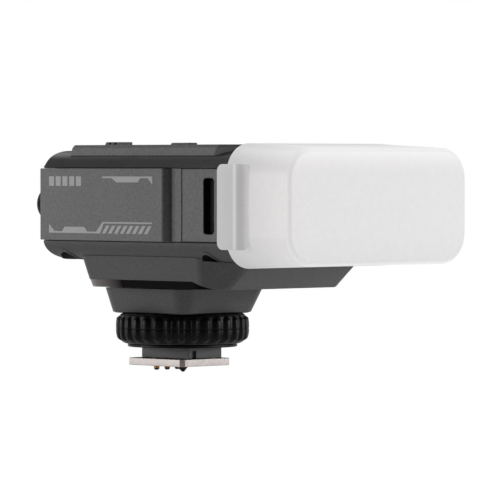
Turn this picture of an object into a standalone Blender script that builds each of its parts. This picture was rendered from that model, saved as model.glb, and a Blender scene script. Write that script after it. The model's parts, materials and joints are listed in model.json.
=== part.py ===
"""Compact on-camera flash with a hot-shoe foot, a knurled lock ring and a slip-on diffuser.

Frame: +Z up, light shines towards -Y, origin at the centre contact on the underside of the
foot plate.  Driving dimensions are in millimetres; MM turns them into metres.
"""
import math

import bmesh
import bpy
from mathutils import Matrix, Vector

MM = 0.001
GAP = 0.3            # clearance between neighbouring pieces

# hot-shoe foot
PLATE_HALF_W = 9.3
PLATE_FRONT, PLATE_REAR = -9.5, 12.1
PLATE_T = 1.95
PLATE_CHAMFER = 1.0
SEAT_DEPTH = 0.2     # shallow seat that the block stands in
BLOCK_HALF_W = 6.15
BLOCK_FRONT, BLOCK_REAR = -8.8, 9.5
BLOCK_LOW, BLOCK_TOP = 2.05, 5.1
CONTACT_R, CONTACT_DROP = 1.25, 1.3
PIN_R, PIN_DROP = 0.75, 1.3
PIN_SPOTS = [(-4.6, 5.3), (-1.9, 4.0), (1.9, 4.0), (4.6, 5.3)]
LOCK_PIN_SPOT = (-4.3, -4.6)
LOCK_PIN_R, LOCK_PIN_DROP = 1.25, 1.5
FOOT_SCREW_SPOTS = [(-6.9, -6.6), (6.9, -6.6), (-6.9, 9.6), (6.9, 9.6)]
FOOT_SCREW_R = 1.15

# lock ring and its pressure washer
STEM_R = 8.8
RING_R, RING_END_R = 18.0, 17.1
RING_LOW, RING_HIGH = 6.1, 13.8
RIB_COUNT = 32
RIB_DEPTH = 0.75
RING_POCKET_R = 11.9
WASHER_R = 14.8
WASHER_LOW, WASHER_HIGH = 5.1, 5.8

# neck, saddle and the dark trim between them
NECK_LOW, NECK_HIGH = 14.2, 21.0
NECK_BOTTOM = (14.2, -15.2, 15.1)
NECK_TOP = (16.0, -16.6, 15.7)
NECK_CORNER = 4.5
# saddle plans: half width, rear facet start, rear half width, rear end,
# front facet start, front half width, front end
SADDLE_LOW, SADDLE_LOW_PLAN = 21.4, (25.5, 9.2, 20.2, 14.7, -33.0, 20.0, -37.8)
SADDLE_MID, SADDLE_MID_PLAN = 28.9, (27.1, 10.6, 20.8, 16.6, -33.8, 19.6, -46.8)
SADDLE_HIGH, SADDLE_HIGH_PLAN = 31.0, (27.8, 11.2, 21.0, 17.0, -33.9, 19.5, -47.3)
TRIM_PLAN = (25.3, 9.0, 20.1, 14.5, -32.8, 20.0, -35.6)
TRIM_BASE_PLAN = (23.9, 8.4, 19.0, 13.6, -32.2, 19.6, -34.8)
SADDLE_POCKET_HALF_W, SADDLE_POCKET_FRONT, SADDLE_POCKET_REAR, SADDLE_POCKET_TOP = 17.0, -26.0, 10.0, 27.2
TRIM_HIGH = 23.5
TRIM_SLOPE_START, TRIM_SLOPE_END = -30.0, -36.6

# main casing
BODY_HALF_W = 29.0
BODY_REAR, BODY_FRONT = 23.5, -47.5
LOWER_Z, BAND_LOW, BAND_HIGH, UPPER_Z = 28.9, 34.0, 53.2, 57.8
LOWER_ROUND, UPPER_ROUND = 5.1, 4.4
WALL = 2.0
WELL_SPOTS = [(-26.3, 16.9), (26.3, 16.9), (-26.3, -36.4), (26.3, -36.4)]
WELL_R, WELL_TOP = 2.3, 31.1
COVER_SCREW_R = 0.9

# raised side plates and vent panels
PLATE_OUT = 31.3
SIDE_REAR, SIDE_STEP, SIDE_FRONT = 22.8, -25.0, -29.7
STEP_ROUND, ROUND_STEPS = 0.9, 4
SEAM = 0.12          # half the visible seam between panel and cover
SLOT_FRONT, SLOT_REAR, SLOT_LOW, SLOT_HIGH = -41.9, -37.9, 36.1, 50.7

# top deck and its two slide switches
DECK_HALF_W = 27.8
DECK_LOW, DECK_FOLD, DECK_TOP = 56.2, 58.1, 59.4
DECK_CHAMFER = 1.6
SWITCH_X, SWITCH_TRAVEL = -18.0, 3.0
POWER_HALF_W, POWER_REAR, POWER_LEN, POWER_TOP = 2.4, 9.0, 5.9, 60.2
MODE_HALF_W, MODE_REAR, MODE_LEN, MODE_TOP = 1.5, -15.4, 7.3, 59.95
RECESS_FLOOR = 58.6
GRIP_DEPTH = 0.7     # finger grooves across the power switch

# rear controls and display
MID_Z = 43.6
DIAL_X, DIAL_R, DIAL_REACH = -24.1, 4.6, 3.9
DIAL_HOLE_R, DIAL_BUTTON_R = 2.0, 2.4
KEY_X, KEY_R, KEY_STEP = -13.6, 2.1, 5.6
SCREEN_LEFT, SCREEN_RIGHT, SCREEN_LOW, SCREEN_HIGH = -8.5, 25.2, 36.2, 51.0

# flash head and diffuser
HEAD_HALF_W, HEAD_LOW, HEAD_HIGH = 30.8, 29.7, 57.4
HEAD_REAR, HEAD_FRONT = -47.8, -60.0
LENS_HALF_W, LENS_LOW, LENS_HIGH = 28.3, 31.9, 55.2
TUBE_Y, TUBE_R, TUBE_HALF_LEN = -51.4, 1.6, 27.4
CAP_HALF_W, CAP_LOW, CAP_HIGH = 32.6, 28.0, 59.3
CAP_REAR, CAP_FRONT = -50.0, -73.2
CAP_WALL, CAP_CORNER = 1.4, 6.6
CAP_CLIP_OUT, CAP_CLIP_LOW, CAP_CLIP_HIGH = 34.5, 32.3, 53.9


def material(name, colour, roughness, metallic=0.0):
    """A plain Principled material in one colour."""
    mat = bpy.data.materials.new(name)
    mat.use_nodes = True
    shader = mat.node_tree.nodes["Principled BSDF"]
    shader.inputs["Base Color"].default_value = (*colour, 1.0)
    shader.inputs["Roughness"].default_value = roughness
    shader.inputs["Metallic"].default_value = metallic
    mat.diffuse_color = (*colour, 1.0)
    return mat


def make_object(name, bm, mat, origin=(0, 0, 0), smooth=False):
    """Store the bmesh, given in millimetres, as an object whose origin is at the given point."""
    bmesh.ops.remove_doubles(bm, verts=bm.verts, dist=1e-4)
    bmesh.ops.recalc_face_normals(bm, faces=bm.faces)
    to_metres = Matrix.Scale(MM, 4) @ Matrix.Translation(-Vector(origin))
    bmesh.ops.transform(bm, matrix=to_metres, verts=bm.verts)
    mesh = bpy.data.meshes.new(name)
    bm.to_mesh(mesh)
    bm.free()
    if smooth:
        mesh.shade_smooth()
        mesh.set_sharp_from_angle(angle=math.radians(35))
    obj = bpy.data.objects.new(name, mesh)
    if mat:
        mesh.materials.append(mat)
    obj.location = Vector(origin) * MM
    bpy.context.collection.objects.link(obj)
    return obj


def skin(bm, loops):
    """Join equal loops of points into one closed skin with flat ends."""
    rings = [[bm.verts.new(p) for p in loop] for loop in loops]
    count = len(rings[0])
    for low, high in zip(rings, rings[1:]):
        for i in range(count):
            j = (i + 1) % count
            bm.faces.new((low[i], low[j], high[j], high[i]))
    bm.faces.new(rings[0][::-1])
    bm.faces.new(rings[-1])
    return bm


def hoop(bm, loops):
    """Join equal loops of points into a closed ring, the last loop back to the first."""
    rings = [[bm.verts.new(p) for p in loop] for loop in loops]
    count = len(rings[0])
    for k, low in enumerate(rings):
        high = rings[(k + 1) % len(rings)]
        for i in range(count):
            j = (i + 1) % count
            bm.faces.new((low[i], low[j], high[j], high[i]))
    return bm


def on_axis(axis, a, b, h):
    """Place a point of a flat outline at height h along the named axis."""
    return {"X": (h, a, b), "Y": (a, h, b), "Z": (a, b, h)}[axis]


def prism(outline, axis, low, high, bm=None):
    """Extrude a flat outline along an axis."""
    bm = bm or bmesh.new()
    return skin(bm, [[on_axis(axis, a, b, h) for a, b in outline] for h in (low, high)])


def box(x0, x1, y0, y1, z0, z1, bm=None):
    return prism([(x0, y0), (x1, y0), (x1, y1), (x0, y1)], "Z", z0, z1, bm)


def disc(centre, radius, axis, low, high, sides=24, bm=None):
    outline = [(centre[0] + radius * math.cos(2 * math.pi * i / sides),
                centre[1] + radius * math.sin(2 * math.pi * i / sides)) for i in range(sides)]
    return prism(outline, axis, low, high, bm)


def round_rect(a0, a1, b0, b1, radius, steps=4):
    """Outline of a rectangle with round corners, counter-clockwise."""
    points = []
    corners = [(a1 - radius, b0 + radius, -90), (a1 - radius, b1 - radius, 0),
               (a0 + radius, b1 - radius, 90), (a0 + radius, b0 + radius, 180)]
    for ca, cb, start in corners:
        for k in range(steps + 1):
            angle = math.radians(start + 90 * k / steps)
            points.append((ca + radius * math.cos(angle), cb + radius * math.sin(angle)))
    return points


def turned(profile, axis, centre, sides=24, bm=None):
    """Solid of revolution from (radius, height) pairs that start and end on the axis."""
    bm = bm or bmesh.new()
    ends = []
    rings = []
    for radius, height in profile:
        if radius == 0:
            ends.append(bm.verts.new(on_axis(axis, centre[0], centre[1], height)))
            continue
        rings.append([bm.verts.new(on_axis(axis, centre[0] + radius * math.cos(2 * math.pi * i / sides),
                                           centre[1] + radius * math.sin(2 * math.pi * i / sides), height))
                      for i in range(sides)])
    for low, high in zip(rings, rings[1:]):
        for i in range(sides):
            j = (i + 1) % sides
            bm.faces.new((low[i], low[j], high[j], high[i]))
    for end, ring in ((ends[0], rings[0]), (ends[1], rings[-1])):
        for i in range(sides):
            bm.faces.new((end, ring[i], ring[(i + 1) % sides]))
    return bm


def round_edges(bm, wanted, radius, steps):
    """Round every edge whose two ends satisfy the test."""
    edges = [e for e in bm.edges if wanted(e.verts[0].co, e.verts[1].co)]
    bmesh.ops.bevel(bm, geom=edges, offset=radius, segments=steps, profile=0.5, affect="EDGES")
    return bm


def add_boolean(obj, tool, operation):
    tool.hide_render = True
    tool.display_type = "WIRE"
    modifier = obj.modifiers.new(operation.lower(), "BOOLEAN")
    modifier.operation = operation
    modifier.solver = "EXACT"
    modifier.object = tool


def cut(obj, bm):
    """Take a shape, given in millimetres, away from an object."""
    tool = make_object("cutter_" + obj.name, bm, None)
    add_boolean(obj, tool, "DIFFERENCE")


def join(obj, bm):
    """Add a shape, given in millimetres, to an object."""
    tool = make_object("added_" + obj.name, bm, None)
    add_boolean(obj, tool, "UNION")


def body_envelope(grow):
    """The casing's outer shape, grown on every side."""
    side = BODY_HALF_W + grow
    rear = BODY_REAR + grow
    low, high = LOWER_Z - grow, UPPER_Z + grow
    bm = box(-side, side, BODY_FRONT - 5, rear, low, high)
    bm.faces.ensure_lookup_table()

    def is_lower(a, b):
        return max(a.z, b.z) < low + 0.01 and (abs(abs(a.x) - side) < 0.01 and abs(a.x - b.x) < 0.01
                                               or min(a.y, b.y) > rear - 0.01)

    def is_upper(a, b):
        return min(a.z, b.z) > high - 0.01 and (abs(abs(a.x) - side) < 0.01 and abs(a.x - b.x) < 0.01
                                                or min(a.y, b.y) > rear - 0.01)

    round_edges(bm, is_lower, LOWER_ROUND + grow, 5)
    round_edges(bm, is_upper, UPPER_ROUND + grow, 5)
    return bm


# ---- hot-shoe foot -------------------------------------------------------------------------

def foot_plate(mat):
    chamfer = PLATE_CHAMFER
    w, front, rear = PLATE_HALF_W, PLATE_FRONT, PLATE_REAR
    outline = [(-w + chamfer, front), (w - chamfer, front), (w, front + chamfer), (w, rear - chamfer),
               (w - chamfer, rear), (-w + chamfer, rear), (-w, rear - chamfer), (-w, front + chamfer)]
    plate = make_object("foot_plate", prism(outline, "Z", 0, PLATE_T), mat)
    holes = bmesh.new()
    disc((0, 0), CONTACT_R + GAP, "Z", -1, 3, 24, holes)
    disc(LOCK_PIN_SPOT, LOCK_PIN_R + GAP, "Z", -1, 3, 20, holes)
    for spot in PIN_SPOTS:
        disc(spot, PIN_R + GAP, "Z", -1, 3, 16, holes)
    for spot in FOOT_SCREW_SPOTS:
        disc(spot, FOOT_SCREW_R + GAP, "Z", -1, 3, 16, holes)
    cut(plate, holes)
    cut(plate, box(-BLOCK_HALF_W - GAP, BLOCK_HALF_W + GAP, BLOCK_FRONT - GAP, BLOCK_REAR + GAP,
                   PLATE_T - SEAT_DEPTH, PLATE_T + 1))


def foot_screws(mat):
    """Short rivet-headed screws that fill the plate's four corner holes."""
    for i, spot in enumerate(FOOT_SCREW_SPOTS):
        profile = [(0, 0.1), (FOOT_SCREW_R, 0.1), (FOOT_SCREW_R, BLOCK_LOW - GAP), (0, BLOCK_LOW - GAP)]
        make_object(f"foot_screw_{i + 1}", turned(profile, "Z", spot, 16), mat, smooth=True)


def shoe_block(mat):
    """Plastic block that runs between the camera's rails, with a pocket for the contacts."""
    outline = [(-BLOCK_HALF_W, BLOCK_FRONT), (BLOCK_HALF_W, BLOCK_FRONT),
               (BLOCK_HALF_W, BLOCK_REAR), (-BLOCK_HALF_W, BLOCK_REAR)]
    block = make_object("shoe_block", prism(outline, "Z", BLOCK_LOW, BLOCK_TOP), mat)
    pockets = bmesh.new()
    disc((0, 0), CONTACT_R + 0.6 + GAP, "Z", 1, 4.7, 24, pockets)
    disc(LOCK_PIN_SPOT, LOCK_PIN_R + GAP, "Z", 1, 4.9, 20, pockets)
    for spot in PIN_SPOTS:
        disc(spot, PIN_R + GAP, "Z", 1, 4.7, 16, pockets)
    # dark notch at the front corner
    box(-BLOCK_HALF_W + 1.1, -BLOCK_HALF_W + 2.7, BLOCK_FRONT - 1, BLOCK_FRONT + 0.8, 1, 4.2, pockets)
    cut(block, pockets)


def contact(name, spot, radius, drop, top, mat):
    """Sprung contact with a domed tip."""
    dome = 0.45 * radius
    profile = [(0, -drop), (0.6 * radius, -drop), (radius, -drop + dome), (radius, top), (0, top)]
    make_object(name, turned(profile, "Z", spot, 16), mat, origin=(*spot, 0), smooth=True)


def lock_pin(mat):
    """Sprung pin with a conical tip that drops into the camera's shoe."""
    low, tip, shoulder, top = -LOCK_PIN_DROP, 0.35, -0.35, 3.2
    profile = [(0, low), (tip, low), (LOCK_PIN_R, shoulder), (LOCK_PIN_R, top), (0, top)]
    pin = turned(profile, "Z", LOCK_PIN_SPOT, 20)
    make_object("lock_pin", pin, mat, origin=(*LOCK_PIN_SPOT, 0), smooth=True)


def stem(mat):
    """Hub that the ring turns on, from the shoe block up to the neck."""
    profile = [(0, BLOCK_TOP + GAP), (STEM_R, BLOCK_TOP + GAP), (STEM_R, NECK_LOW - GAP), (0, NECK_LOW - GAP)]
    make_object("threaded_stem", turned(profile, "Z", (0, 0), 40), mat, smooth=True)


# ---- lock ring -----------------------------------------------------------------------------

def clamp_washer(mat):
    """Pressure washer with a square-cornered hole that keeps it from turning."""
    plate = disc((0, 0), WASHER_R, "Z", WASHER_LOW, WASHER_HIGH, 48)
    washer = make_object("clamp_washer", plate, mat, smooth=True)
    hole_w = BLOCK_HALF_W + GAP + 0.2
    cut(washer, box(-hole_w, hole_w, BLOCK_FRONT - 0.5, BLOCK_REAR + 0.5, 4, 8))
    cut(washer, disc((0, 0), STEM_R + GAP, "Z", 4, 8, 40))


def ring_loop(radius, height, depth):
    """One level of the ring's outside, with the ribs standing out by depth."""
    points = []
    rib_shape = (0.0, 0.0, 0.75, 1.0, 1.0, 0.75)
    per_rib = len(rib_shape)
    for i in range(RIB_COUNT * per_rib):
        angle = 2 * math.pi * i / (RIB_COUNT * per_rib)
        reach = radius - depth + depth * rib_shape[i % per_rib]
        points.append((reach * math.cos(angle), reach * math.sin(angle), height))
    return points


def lock_ring(mat):
    """Crowned ring with round-ended ribs, bored for the stem and pocketed for the block."""
    rise = [(0.0, RING_END_R - 0.9, 0.0), (0.35, RING_END_R - 0.3, 0.15),
            (0.9, RING_END_R + 0.35, 0.7 * RIB_DEPTH), (1.9, RING_R - 0.1, RIB_DEPTH)]
    crown = [(RING_LOW + step, radius, depth) for step, radius, depth in rise]
    crown += [(RING_HIGH - step, radius, depth) for step, radius, depth in reversed(rise)]
    loops = [ring_loop(radius, height, depth) for height, radius, depth in crown]
    bore, ledge = STEM_R + GAP, RING_LOW + 1.5
    inner = [(bore, RING_HIGH), (bore, ledge), (RING_POCKET_R, ledge), (RING_POCKET_R, RING_LOW)]
    loops += [ring_loop(radius, height, 0.0) for radius, height in inner]
    make_object("lock_ring", hoop(bmesh.new(), loops), mat, smooth=True)


# ---- neck and saddle -----------------------------------------------------------------------

def neck_collar(mat):
    loops = []
    for z, (w, front, rear) in ((NECK_LOW, NECK_BOTTOM), (NECK_HIGH, NECK_TOP)):
        loops.append([(x, y, z) for x, y in round_rect(-w, w, front, rear, NECK_CORNER, 5)])
    make_object("neck_collar", skin(bmesh.new(), loops), mat, smooth=True)


def saddle_outline(side, rear_start, rear_x, rear, front_start, front_x, front):
    """Plan of the saddle with a facet at each corner."""
    return [(-front_x, front), (front_x, front), (side, front_start), (side, rear_start),
            (rear_x, rear), (-rear_x, rear), (-side, rear_start), (-side, front_start)]


def saddle_loops():
    plans = [(SADDLE_LOW, SADDLE_LOW_PLAN), (SADDLE_MID, SADDLE_MID_PLAN), (SADDLE_HIGH, SADDLE_HIGH_PLAN)]
    return [[(x, y, z) for x, y in saddle_outline(*plan)] for z, plan in plans]


def saddle_shell(mat):
    """Wedge under the casing, cupped to fit its rounded underside and open below for the trim."""
    saddle = make_object("saddle_shell", skin(bmesh.new(), saddle_loops()), mat, smooth=True)
    cut(saddle, body_envelope(GAP))
    side_profile = [(20, 20), (20, TRIM_HIGH + GAP), (TRIM_SLOPE_START, TRIM_HIGH + GAP),
                    (TRIM_SLOPE_END, 21.2), (TRIM_SLOPE_END, 20)]
    cut(saddle, prism(side_profile, "X", -40, 40))
    cut(saddle, box(-SADDLE_POCKET_HALF_W, SADDLE_POCKET_HALF_W, SADDLE_POCKET_FRONT, SADDLE_POCKET_REAR,
                    20, SADDLE_POCKET_TOP))


def saddle_trim(mat):
    """Dark glossy plate under the saddle, thinning to nothing towards the front."""
    loops = [[(x, y, NECK_HIGH + GAP) for x, y in saddle_outline(*TRIM_BASE_PLAN)],
             [(x, y, TRIM_HIGH) for x, y in saddle_outline(*TRIM_PLAN)]]
    trim = make_object("saddle_trim", skin(bmesh.new(), loops), mat, smooth=True)
    wedge = [(TRIM_SLOPE_START + 0.4, 30), (TRIM_SLOPE_START + 0.4, TRIM_HIGH - 0.05),
             (TRIM_SLOPE_END - 0.4, 20.85), (TRIM_SLOPE_END - 4, 20.85), (TRIM_SLOPE_END - 4, 30)]
    cut(trim, prism(wedge, "X", -40, 40))


# ---- casing --------------------------------------------------------------------------------

def half_casing(name, low, high, cavity, mat):
    """A slice of the casing's outer shape, hollowed by a box."""
    cover = make_object(name, body_envelope(0.0), mat, smooth=True)
    cut(cover, box(-60, 60, -90, BODY_FRONT, 0, 90))
    if low > LOWER_Z:
        cut(cover, box(-60, 60, -90, 60, 0, low))
    else:
        cut(cover, box(-60, 60, -90, 60, high, 90))
    cut(cover, box(-BODY_HALF_W + WALL, BODY_HALF_W - WALL, BODY_FRONT - 3, BODY_REAR - WALL, *cavity))
    return cover


def lower_cover(mat):
    cover = half_casing("lower_cover", LOWER_Z, BAND_LOW, (32.2, 40), mat)
    wells = bmesh.new()
    for x, y in WELL_SPOTS:
        disc((x, y), WELL_R, "Z", 26, WELL_TOP, 20, wells)
    cut(cover, wells)
    shanks = bmesh.new()
    for x, y in WELL_SPOTS:
        disc((x, y), COVER_SCREW_R + GAP, "Z", 30, 36, 12, shanks)
    cut(cover, shanks)


def cover_screws(mat):
    for i, spot in enumerate(WELL_SPOTS):
        profile = [(0, 29.5), (1.0, 29.5), (1.9, 29.9), (1.9, 30.8), (COVER_SCREW_R, 30.8),
                   (COVER_SCREW_R, 33.8), (0, 33.8)]
        make_object(f"cover_screw_{i + 1}", turned(profile, "Z", spot, 12), mat, smooth=True)


def upper_cover(mat):
    half_casing("upper_cover", BAND_HIGH, UPPER_Z, (45, 55.8), mat)


def side_panel(side, mat):
    """Side of the casing with the raised plate that carries the printed marks."""
    name = "side_panel_right" if side < 0 else "side_panel_left"
    inner, flush, outer = (side * v for v in (BODY_HALF_W - WALL + 0.1, BODY_HALF_W + 0.2, PLATE_OUT))
    corner = side * BODY_HALF_W
    outline = [(inner, BODY_REAR - 0.1), (corner, BODY_REAR - 0.1), (corner, SIDE_REAR),
               (outer - side * 0.3, SIDE_REAR), (outer, SIDE_REAR - 0.3)]
    for k in range(ROUND_STEPS + 1):
        angle = math.radians(90 * k / ROUND_STEPS)
        outline.append((outer - side * STEP_ROUND * (1 - math.cos(angle)),
                        SIDE_STEP + STEP_ROUND * (1 - math.sin(angle))))
    outline += [(flush, SIDE_STEP), (flush, SIDE_FRONT), (inner, SIDE_FRONT)]
    panel = make_object(name, prism(outline, "Z", BAND_LOW + SEAM, BAND_HIGH - SEAM), mat)
    if side > 0:
        cut(panel, prism(round_rect(2.2, 11.6, 37.0, 40.6, 1.7, 3), "X", 20, 40))


def vent_panel(side, mat):
    """Panel in front of the side plate, with the long upright slot."""
    name = "vent_panel_right" if side < 0 else "vent_panel_left"
    inner, outer = side * (BODY_HALF_W - WALL + 0.1), side * (BODY_HALF_W + 0.2)
    low, high = sorted((inner, outer))
    outline = [(BODY_FRONT, BAND_LOW + SEAM), (SIDE_FRONT - 0.25, BAND_LOW + SEAM),
               (SIDE_FRONT - 0.25, BAND_HIGH - SEAM), (BODY_FRONT, BAND_HIGH - SEAM)]
    panel = make_object(name, prism(outline, "X", low, high), mat)
    floor = side * (BODY_HALF_W - 1.4)
    mouth = round_rect(SLOT_FRONT, SLOT_REAR, SLOT_LOW, SLOT_HIGH, 0.9, 3)
    bottom = round_rect(SLOT_FRONT + 1.4, SLOT_REAR, SLOT_LOW, SLOT_HIGH, 0.9, 3)
    loops = [[(floor, y, z) for y, z in bottom], [(side * (BODY_HALF_W + 0.2), y, z) for y, z in mouth],
             [(side * (BODY_HALF_W + 2), y, z) for y, z in mouth]]
    cut(panel, skin(bmesh.new(), loops))


def rear_panel(mat):
    """Rear face with openings for the screen, the dial's shaft and three keys."""
    w = BODY_HALF_W - WALL - 0.2
    bm = box(-w, w, BODY_REAR - WALL, BODY_REAR - 0.1, BAND_LOW + SEAM, BAND_HIGH - SEAM)
    panel = make_object("rear_panel", bm, mat)
    near, far = BODY_REAR - WALL - 1, BODY_REAR + 1
    openings = bmesh.new()
    prism(round_rect(SCREEN_LEFT - GAP, SCREEN_RIGHT + GAP, SCREEN_LOW - GAP, SCREEN_HIGH + GAP, 1.3, 3),
          "Y", near, far, openings)
    disc((DIAL_X, MID_Z), DIAL_HOLE_R, "Y", near, far, 20, openings)
    for k in (-1, 0, 1):
        disc((KEY_X, MID_Z + k * KEY_STEP), KEY_R + GAP, "Y", near, far, 20, openings)
    cut(panel, openings)


def top_deck(mat):
    """Raised deck with a folded edge, facets at the front corners and two switch recesses."""
    def level(z, side, rear, corner, front, front_x):
        return [(x, y, z) for x, y in ((-front_x, front), (front_x, front), (side, corner), (side, rear),
                                       (-side, rear), (-side, corner))]

    side = DECK_HALF_W
    loops = [level(DECK_LOW - 1.2, side, 14.4, -39.9, -46.4, 24.9),
             level(DECK_FOLD, side, 13.7, -41.4, -46.9, 25.0),
             level(DECK_TOP, side - DECK_CHAMFER, 14.0, -42.4, -46.9, 23.9)]
    deck = make_object("top_deck", skin(bmesh.new(), loops), mat)
    cut(deck, body_envelope(GAP))
    cut(deck, box(-40, 40, -60, 40, 50, DECK_LOW))
    recesses = bmesh.new()
    for half_w, rear, length in ((POWER_HALF_W, POWER_REAR, POWER_LEN), (MODE_HALF_W, MODE_REAR, MODE_LEN)):
        prism(round_rect(SWITCH_X - half_w - GAP, SWITCH_X + half_w + GAP,
                         rear - length - SWITCH_TRAVEL - GAP, rear + GAP, 0.5, 3),
              "Z", RECESS_FLOOR, 62, recesses)
    cut(deck, recesses)


def power_switch(mat):
    """Slide switch with two finger grooves across its top and sloping ends."""
    low, top, rear, front = RECESS_FLOOR + GAP, POWER_TOP, POWER_REAR, POWER_REAR - POWER_LEN
    profile = [(front, low), (rear, low), (rear, top - 1.0), (rear - 0.6, top)]
    for groove in (rear - 1.5, rear - 3.6):
        profile += [(groove, top), (groove - 0.3, top - GRIP_DEPTH), (groove - 1.0, top - GRIP_DEPTH),
                    (groove - 1.3, top)]
    profile += [(front, top)]
    bm = prism(profile, "X", SWITCH_X - POWER_HALF_W, SWITCH_X + POWER_HALF_W)
    make_object("power_switch", bm, mat, origin=(SWITCH_X, rear, low))


def mode_switch(mat):
    """Second slide switch: a plain low block with a sloping rear end."""
    low, top, rear, front = RECESS_FLOOR + GAP, MODE_TOP, MODE_REAR, MODE_REAR - MODE_LEN
    profile = [(front, low), (rear, low), (rear, top - 0.6), (rear - 0.6, top), (front, top)]
    bm = prism(profile, "X", SWITCH_X - MODE_HALF_W, SWITCH_X + MODE_HALF_W)
    make_object("mode_switch", bm, mat, origin=(SWITCH_X, rear, low))


# ---- rear controls -------------------------------------------------------------------------

def control_dial(mat):
    """Knurled dial with a shaft through the rear panel and a well for its centre button."""
    near, far = BODY_REAR + GAP, BODY_REAR + DIAL_REACH
    teeth = 24
    rim = []
    for i in range(teeth * 2):
        reach = DIAL_R - (0.3 if i % 2 else 0.0)
        angle = math.pi * i / teeth
        rim.append((DIAL_X + reach * math.cos(angle), MID_Z + reach * math.sin(angle)))
    ends = [(DIAL_X + (x - DIAL_X) * 0.9, MID_Z + (z - MID_Z) * 0.9) for x, z in rim]
    levels = ((near, ends), (near + 0.4, rim), (far - 0.5, rim), (far, ends))
    loops = [[(x, y, z) for x, z in loop] for y, loop in levels]
    dial = make_object("control_dial", skin(bmesh.new(), loops), mat, origin=(DIAL_X, BODY_REAR, MID_Z))
    join(dial, disc((DIAL_X, MID_Z), DIAL_HOLE_R - GAP, "Y", BODY_REAR - WALL + 0.1, near + 0.5, 20))
    cut(dial, disc((DIAL_X, MID_Z), DIAL_BUTTON_R + GAP, "Y", far - 2.2, far + 1, 24))


def round_key(name, x, z, radius, near, far, mat):
    profile = [(0, near), (radius, near), (radius, far - 0.25), (radius - 0.35, far), (0, far)]
    make_object(name, turned(profile, "Y", (x, z), 24), mat, origin=(x, near, z), smooth=True)


def rear_keys(mat):
    for k, name in ((1, "menu_key"), (0, "set_key"), (-1, "test_key")):
        round_key(name, KEY_X, MID_Z + k * KEY_STEP, KEY_R, BODY_REAR - WALL, BODY_REAR + 0.7, mat)


def display_window(mat):
    outline = round_rect(SCREEN_LEFT, SCREEN_RIGHT, SCREEN_LOW, SCREEN_HIGH, 1.0, 3)
    make_object("display_window", prism(outline, "Y", BODY_REAR - 1.4, BODY_REAR - 0.2), mat)


# ---- inside the casing ---------------------------------------------------------------------

def inner_pieces(board, dark, metal, shrink_wrap, cell, gold):
    """Plain solids that stand for the electronics, each clear of its neighbours."""
    main_top, control_front = 34.9, 14.2
    rear_parts_front, rear_parts_rear = control_front + 2.0, BODY_REAR - WALL - 0.4
    make_object("main_board", box(-25, 25, -42, 13.5, main_top - 1.5, main_top), board)
    make_object("control_board", box(-26, 26, control_front, control_front + 1.6, 35.3, 52.2), board)
    make_object("display_module", box(SCREEN_LEFT, SCREEN_RIGHT, rear_parts_front, rear_parts_rear,
                                      SCREEN_LOW - 0.3, SCREEN_HIGH + 0.4), dark)
    half = 2.7
    make_object("dial_encoder", box(DIAL_X - half + 0.6, DIAL_X + half + 0.6, rear_parts_front,
                                    rear_parts_rear, MID_Z - half, MID_Z + half), metal)
    outline = round_rect(-25.5, 2.5, 38.0, 54.5, 2.0, 3)
    make_object("battery_pack", prism(outline, "Y", -26, 12), cell, smooth=True)
    radius, front, rear = 8.7, -30.0, 10.0
    can = [(0, front), (radius - 0.3, front), (radius, front + 0.5), (radius, rear - 0.5),
           (radius - 0.3, rear), (0, rear)]
    make_object("flash_capacitor", turned(can, "Y", (13.6, 46.0), 28), shrink_wrap, smooth=True)
    make_object("step_up_transformer", box(7, 20, -44, -31.5, 36.5, 46.5), dark)
    coil = [(0, 6.5), (3, 6.5), (3, 18.5), (0, 18.5)]
    make_object("trigger_coil", turned(coil, "X", (-38.5, 50.5), 16), gold, smooth=True)
    make_object("radio_module", box(-21, -5, -44, -31, main_top + 0.7, main_top + 2.9), metal)
    socket = round_rect(2.6, 11.2, 37.4, 40.2, 1.3, 3)
    make_object("charging_socket", prism(socket, "X", 24.0, PLATE_OUT - 0.4), metal)


def reflector(mat):
    """Bright trough round the flash tube, open to the front, with a hole in each end."""
    def loop(y, half_w, low, high):
        return [(-half_w, y, low), (half_w, y, low), (half_w, y, high), (-half_w, y, high)]

    back, waist, mouth = -48.4, -50.6, -57.6
    inner = [loop(back, 24.4, 41.0, 46.2), loop(waist, 25.3, 39.6, 47.6), loop(mouth, 27.0, 33.4, 53.8)]
    outer = [loop(mouth, 27.8, 32.6, 54.6), loop(waist, 26.1, 38.8, 48.4), loop(back + 0.5, 25.2, 40.2, 47.0)]
    shell = make_object("reflector", skin(bmesh.new(), inner + outer), mat)
    cut(shell, disc((TUBE_Y, MID_Z), TUBE_R + 0.4, "X", -40, 40, 20))


def flash_tube(mat):
    half, neck = TUBE_HALF_LEN, TUBE_R - 0.3
    profile = [(0, -half), (neck, -half), (TUBE_R, 0.4 - half), (TUBE_R, half - 0.4), (neck, half), (0, half)]
    make_object("flash_tube", turned(profile, "X", (TUBE_Y, MID_Z), 20), mat, smooth=True)


# ---- flash head and diffuser ---------------------------------------------------------------

def head_bezel(mat):
    """Frame round the lens that the diffuser slips over."""
    def loop(y, half_w, low, high, radius):
        return [(x, y, z) for x, z in round_rect(-half_w, half_w, low, high, radius, 4)]

    w, low, high = HEAD_HALF_W, HEAD_LOW, HEAD_HIGH
    seat_w, seat_low, seat_high = LENS_HALF_W + GAP, LENS_LOW - GAP, LENS_HIGH + GAP
    loops = [loop(HEAD_REAR, w, low, high, 4.6), loop(HEAD_FRONT + 0.6, w, low, high, 4.6),
             loop(HEAD_FRONT, w - 0.6, low + 0.6, high - 0.6, 4.0),
             loop(HEAD_FRONT, seat_w, seat_low, seat_high, 2.4),
             loop(HEAD_REAR, seat_w, seat_low, seat_high, 2.4)]
    make_object("head_bezel", hoop(bmesh.new(), loops), mat, smooth=True)


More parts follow.
